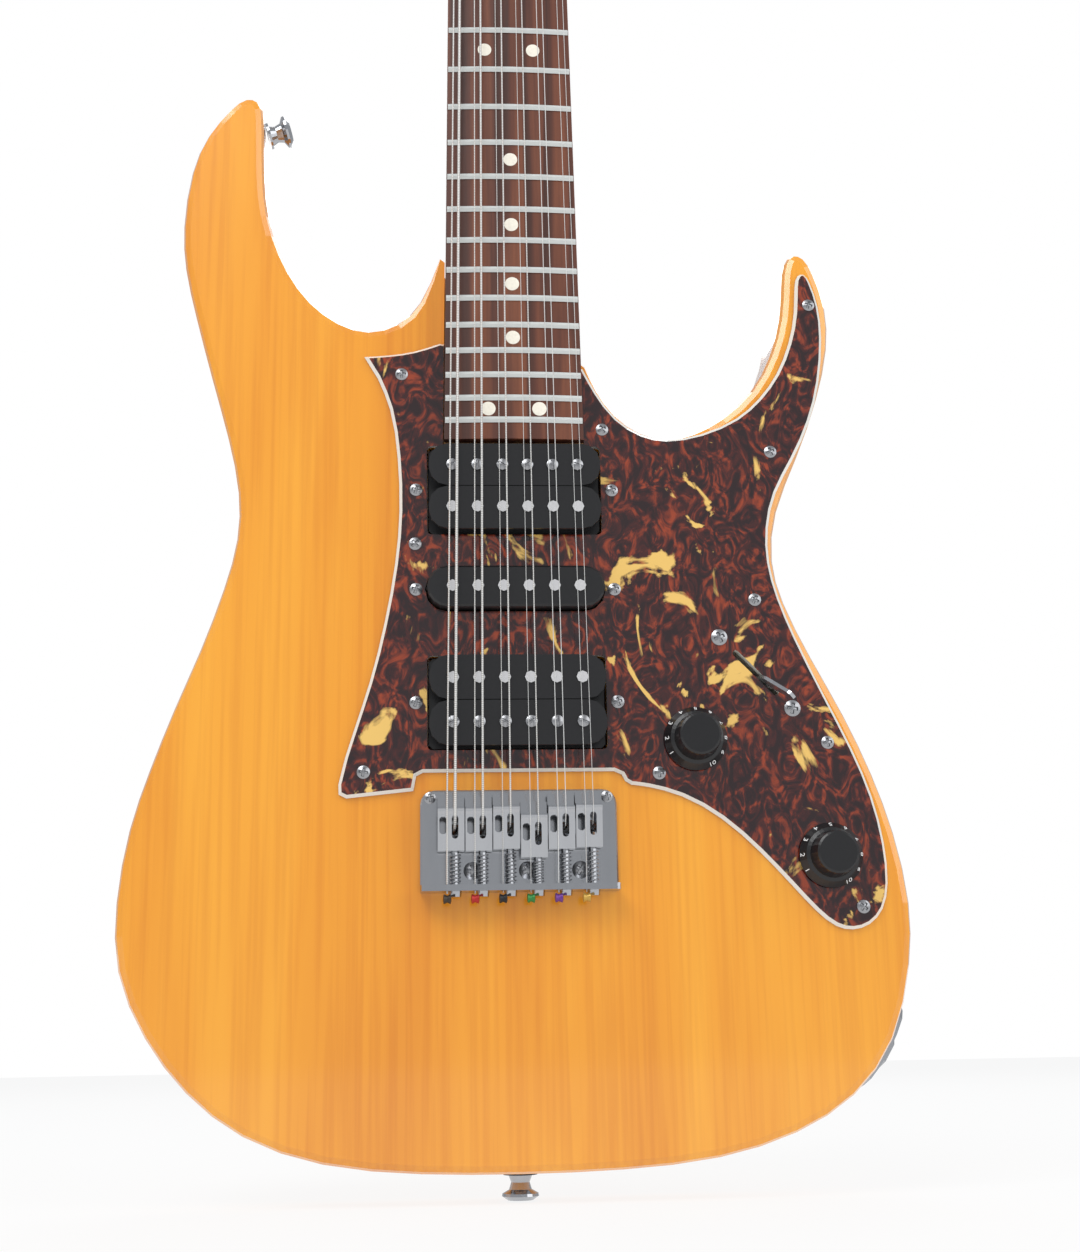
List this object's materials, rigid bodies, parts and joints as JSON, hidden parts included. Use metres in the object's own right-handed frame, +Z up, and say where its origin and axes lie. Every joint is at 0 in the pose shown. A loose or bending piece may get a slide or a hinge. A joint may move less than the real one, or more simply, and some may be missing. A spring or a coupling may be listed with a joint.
{
  "type": "twelve-string electric guitar",
  "caption": "Twelve-string solid-body electric guitar in amber with a tortoiseshell pickguard, double-coil pickups and a hardtail bridge",
  "frame": {"origin": "centre of the outer face of the tail strap button", "axes": "+Z up the neck, -Y out of the front, +X to the treble side"},
  "size_m": [0.31, 0.0707, 0.978],
  "materials": {
    "amber_wood": "clear gloss over amber stain",
    "maple": "satin lacquer",
    "rosewood": "oiled",
    "nut_white": "plain",
    "tortoiseshell": "polished, white edge",
    "black_plastic": "semi-gloss",
    "chrome": "polished",
    "string_wire": "drawn wire"
  },
  "bodies": {
    "guitar": {"body": "amber_wood", "bridge_pickup": "black_plastic", "bridge_plate": "chrome", "fretboard": "rosewood", "middle_pickup": "black_plastic", "neck": "maple", "neck_pickup": "black_plastic", "neck_plate": "chrome", "nut": "nut_white", "output_jack": "chrome", "pickguard": "tortoiseshell", "strap_button_horn": "chrome", "strap_button_tail": "chrome", "string_1": "string_wire", "string_10": "string_wire", "string_11": "string_wire", "string_12": "string_wire", "string_2": "string_wire", "string_3": "string_wire", "string_4": "string_wire", "string_5": "string_wire", "string_6": "string_wire", "string_7": "string_wire", "string_8": "string_wire", "string_9": "string_wire", "tuner_strip_bass": "chrome", "tuner_strip_treble": "chrome"},
    "tuner_button_1": {"tuner_button_1": "chrome"},
    "tuner_post_1": {"tuner_post_1": "chrome"},
    "tuner_button_2": {"tuner_button_2": "chrome"},
    "tuner_post_2": {"tuner_post_2": "chrome"},
    "tuner_button_3": {"tuner_button_3": "chrome"},
    "tuner_post_3": {"tuner_post_3": "chrome"},
    "tuner_button_4": {"tuner_button_4": "chrome"},
    "tuner_post_4": {"tuner_post_4": "chrome"},
    "tuner_button_5": {"tuner_button_5": "chrome"},
    "tuner_post_5": {"tuner_post_5": "chrome"},
    "tuner_button_6": {"tuner_button_6": "chrome"},
    "tuner_post_6": {"tuner_post_6": "chrome"},
    "tuner_button_7": {"tuner_button_7": "chrome"},
    "tuner_post_7": {"tuner_post_7": "chrome"},
    "tuner_button_8": {"tuner_button_8": "chrome"},
    "tuner_post_8": {"tuner_post_8": "chrome"},
    "tuner_button_9": {"tuner_button_9": "chrome"},
    "tuner_post_9": {"tuner_post_9": "chrome"},
    "tuner_button_10": {"tuner_button_10": "chrome"},
    "tuner_post_10": {"tuner_post_10": "chrome"},
    "tuner_button_11": {"tuner_button_11": "chrome"},
    "tuner_post_11": {"tuner_post_11": "chrome"},
    "tuner_button_12": {"tuner_button_12": "chrome"},
    "tuner_post_12": {"tuner_post_12": "chrome"},
    "volume_knob": {"volume_knob": "black_plastic"},
    "tone_knob": {"tone_knob": "black_plastic"},
    "switch_lever": {"switch_lever": "chrome"},
    "saddle_1": {"saddle_1": "chrome"},
    "saddle_2": {"saddle_2": "chrome"},
    "saddle_3": {"saddle_3": "chrome"},
    "saddle_4": {"saddle_4": "chrome"},
    "saddle_5": {"saddle_5": "chrome"},
    "saddle_6": {"saddle_6": "chrome"}
  },
  "joints": [
    {"name": "tuner_button_turn_1", "type": "hinge", "parent": "guitar", "child": "tuner_button_1", "pos_m": [-0.027, 0.00009, 0.81959], "axis": [-1, 0, 0], "continuous": true},
    {"name": "tuner_post_turn_1", "type": "hinge", "parent": "guitar", "child": "tuner_post_1", "pos_m": [-0.027, -0.01793, 0.82956], "axis": [0, -0.9781, 0.2079], "continuous": true},
    {"name": "tuner_button_turn_2", "type": "hinge", "parent": "guitar", "child": "tuner_button_2", "pos_m": [-0.027, 0.00529, 0.84405], "axis": [-1, 0, 0], "continuous": true},
    {"name": "tuner_post_turn_2", "type": "hinge", "parent": "guitar", "child": "tuner_post_2", "pos_m": [-0.027, -0.01273, 0.85401], "axis": [0, -0.9781, 0.2079], "continuous": true},
    {"name": "tuner_button_turn_3", "type": "hinge", "parent": "guitar", "child": "tuner_button_3", "pos_m": [-0.027, 0.01049, 0.8685], "axis": [-1, 0, 0], "continuous": true},
    {"name": "tuner_post_turn_3", "type": "hinge", "parent": "guitar", "child": "tuner_post_3", "pos_m": [-0.027, -0.00754, 0.87846], "axis": [0, -0.9781, 0.2079], "continuous": true},
    {"name": "tuner_button_turn_4", "type": "hinge", "parent": "guitar", "child": "tuner_button_4", "pos_m": [-0.027, 0.01568, 0.89295], "axis": [-1, 0, 0], "continuous": true},
    {"name": "tuner_post_turn_4", "type": "hinge", "parent": "guitar", "child": "tuner_post_4", "pos_m": [-0.027, -0.00234, 0.90292], "axis": [0, -0.9781, 0.2079], "continuous": true},
    {"name": "tuner_button_turn_5", "type": "hinge", "parent": "guitar", "child": "tuner_button_5", "pos_m": [-0.027, 0.02088, 0.91741], "axis": [-1, 0, 0], "continuous": true},
    {"name": "tuner_post_turn_5", "type": "hinge", "parent": "guitar", "child": "tuner_post_5", "pos_m": [-0.027, 0.00286, 0.92737], "axis": [0, -0.9781, 0.2079], "continuous": true},
    {"name": "tuner_button_turn_6", "type": "hinge", "parent": "guitar", "child": "tuner_button_6", "pos_m": [-0.027, 0.02608, 0.94186], "axis": [-1, 0, 0], "continuous": true},
    {"name": "tuner_post_turn_6", "type": "hinge", "parent": "guitar", "child": "tuner_post_6", "pos_m": [-0.027, 0.00806, 0.95183], "axis": [0, -0.9781, 0.2079], "continuous": true},
    {"name": "tuner_button_turn_7", "type": "hinge", "parent": "guitar", "child": "tuner_button_7", "pos_m": [0.027, 0.02608, 0.94186], "axis": [1, 0, 0], "continuous": true},
    {"name": "tuner_post_turn_7", "type": "hinge", "parent": "guitar", "child": "tuner_post_7", "pos_m": [0.027, 0.00806, 0.95183], "axis": [0, -0.9781, 0.2079], "continuous": true},
    {"name": "tuner_button_turn_8", "type": "hinge", "parent": "guitar", "child": "tuner_button_8", "pos_m": [0.027, 0.02088, 0.91741], "axis": [1, 0, 0], "continuous": true},
    {"name": "tuner_post_turn_8", "type": "hinge", "parent": "guitar", "child": "tuner_post_8", "pos_m": [0.027, 0.00286, 0.92737], "axis": [0, -0.9781, 0.2079], "continuous": true},
    {"name": "tuner_button_turn_9", "type": "hinge", "parent": "guitar", "child": "tuner_button_9", "pos_m": [0.027, 0.01568, 0.89295], "axis": [1, 0, 0], "continuous": true},
    {"name": "tuner_post_turn_9", "type": "hinge", "parent": "guitar", "child": "tuner_post_9", "pos_m": [0.027, -0.00234, 0.90292], "axis": [0, -0.9781, 0.2079], "continuous": true},
    {"name": "tuner_button_turn_10", "type": "hinge", "parent": "guitar", "child": "tuner_button_10", "pos_m": [0.027, 0.01049, 0.8685], "axis": [1, 0, 0], "continuous": true},
    {"name": "tuner_post_turn_10", "type": "hinge", "parent": "guitar", "child": "tuner_post_10", "pos_m": [0.027, -0.00754, 0.87846], "axis": [0, -0.9781, 0.2079], "continuous": true},
    {"name": "tuner_button_turn_11", "type": "hinge", "parent": "guitar", "child": "tuner_button_11", "pos_m": [0.027, 0.00529, 0.84405], "axis": [1, 0, 0], "continuous": true},
    {"name": "tuner_post_turn_11", "type": "hinge", "parent": "guitar", "child": "tuner_post_11", "pos_m": [0.027, -0.01273, 0.85401], "axis": [0, -0.9781, 0.2079], "continuous": true},
    {"name": "tuner_button_turn_12", "type": "hinge", "parent": "guitar", "child": "tuner_button_12", "pos_m": [0.027, 0.00009, 0.81959], "axis": [1, 0, 0], "continuous": true},
    {"name": "tuner_post_turn_12", "type": "hinge", "parent": "guitar", "child": "tuner_post_12", "pos_m": [0.027, -0.01793, 0.82956], "axis": [0, -0.9781, 0.2079], "continuous": true},
    {"name": "volume_turn", "type": "hinge", "parent": "guitar", "child": "volume_knob", "pos_m": [0.0711, -0.0223, 0.1734], "axis": [0, -1, 0], "range_deg": [0, 300]},
    {"name": "tone_turn", "type": "hinge", "parent": "guitar", "child": "tone_knob", "pos_m": [0.123, -0.0223, 0.1269], "axis": [0, -1, 0], "range_deg": [0, 300]},
    {"name": "selector_swing", "type": "hinge", "parent": "guitar", "child": "switch_lever", "pos_m": [0.0969, -0.0103, 0.2003], "axis": [0.7169, 0, 0.6972], "range_deg": [-40, 0]},
    {"name": "saddle_slide_1", "type": "slide", "parent": "guitar", "child": "saddle_1", "axis": [0, 0, 1], "range_m": [-0.0005, 0.0025]},
    {"name": "saddle_slide_2", "type": "slide", "parent": "guitar", "child": "saddle_2", "axis": [0, 0, 1], "range_m": [-0.0005, 0.0025]},
    {"name": "saddle_slide_3", "type": "slide", "parent": "guitar", "child": "saddle_3", "axis": [0, 0, 1], "range_m": [-0.0005, 0.0025]},
    {"name": "saddle_slide_4", "type": "slide", "parent": "guitar", "child": "saddle_4", "axis": [0, 0, 1], "range_m": [-0.0005, 0.0025]},
    {"name": "saddle_slide_5", "type": "slide", "parent": "guitar", "child": "saddle_5", "axis": [0, 0, 1], "range_m": [-0.0005, 0.0025]},
    {"name": "saddle_slide_6", "type": "slide", "parent": "guitar", "child": "saddle_6", "axis": [0, 0, 1], "range_m": [-0.0005, 0.0025]}
  ],
  "couplings": [
    {"joint": "tuner_post_turn_1", "follows": "tuner_button_turn_1", "ratio": 0.066667},
    {"joint": "tuner_post_turn_2", "follows": "tuner_button_turn_2", "ratio": 0.066667},
    {"joint": "tuner_post_turn_3", "follows": "tuner_button_turn_3", "ratio": 0.066667},
    {"joint": "tuner_post_turn_4", "follows": "tuner_button_turn_4", "ratio": 0.066667},
    {"joint": "tuner_post_turn_5", "follows": "tuner_button_turn_5", "ratio": 0.066667},
    {"joint": "tuner_post_turn_6", "follows": "tuner_button_turn_6", "ratio": 0.066667},
    {"joint": "tuner_post_turn_7", "follows": "tuner_button_turn_7", "ratio": 0.066667},
    {"joint": "tuner_post_turn_8", "follows": "tuner_button_turn_8", "ratio": 0.066667},
    {"joint": "tuner_post_turn_9", "follows": "tuner_button_turn_9", "ratio": 0.066667},
    {"joint": "tuner_post_turn_10", "follows": "tuner_button_turn_10", "ratio": 0.066667},
    {"joint": "tuner_post_turn_11", "follows": "tuner_button_turn_11", "ratio": 0.066667},
    {"joint": "tuner_post_turn_12", "follows": "tuner_button_turn_12", "ratio": 0.066667}
  ]
}
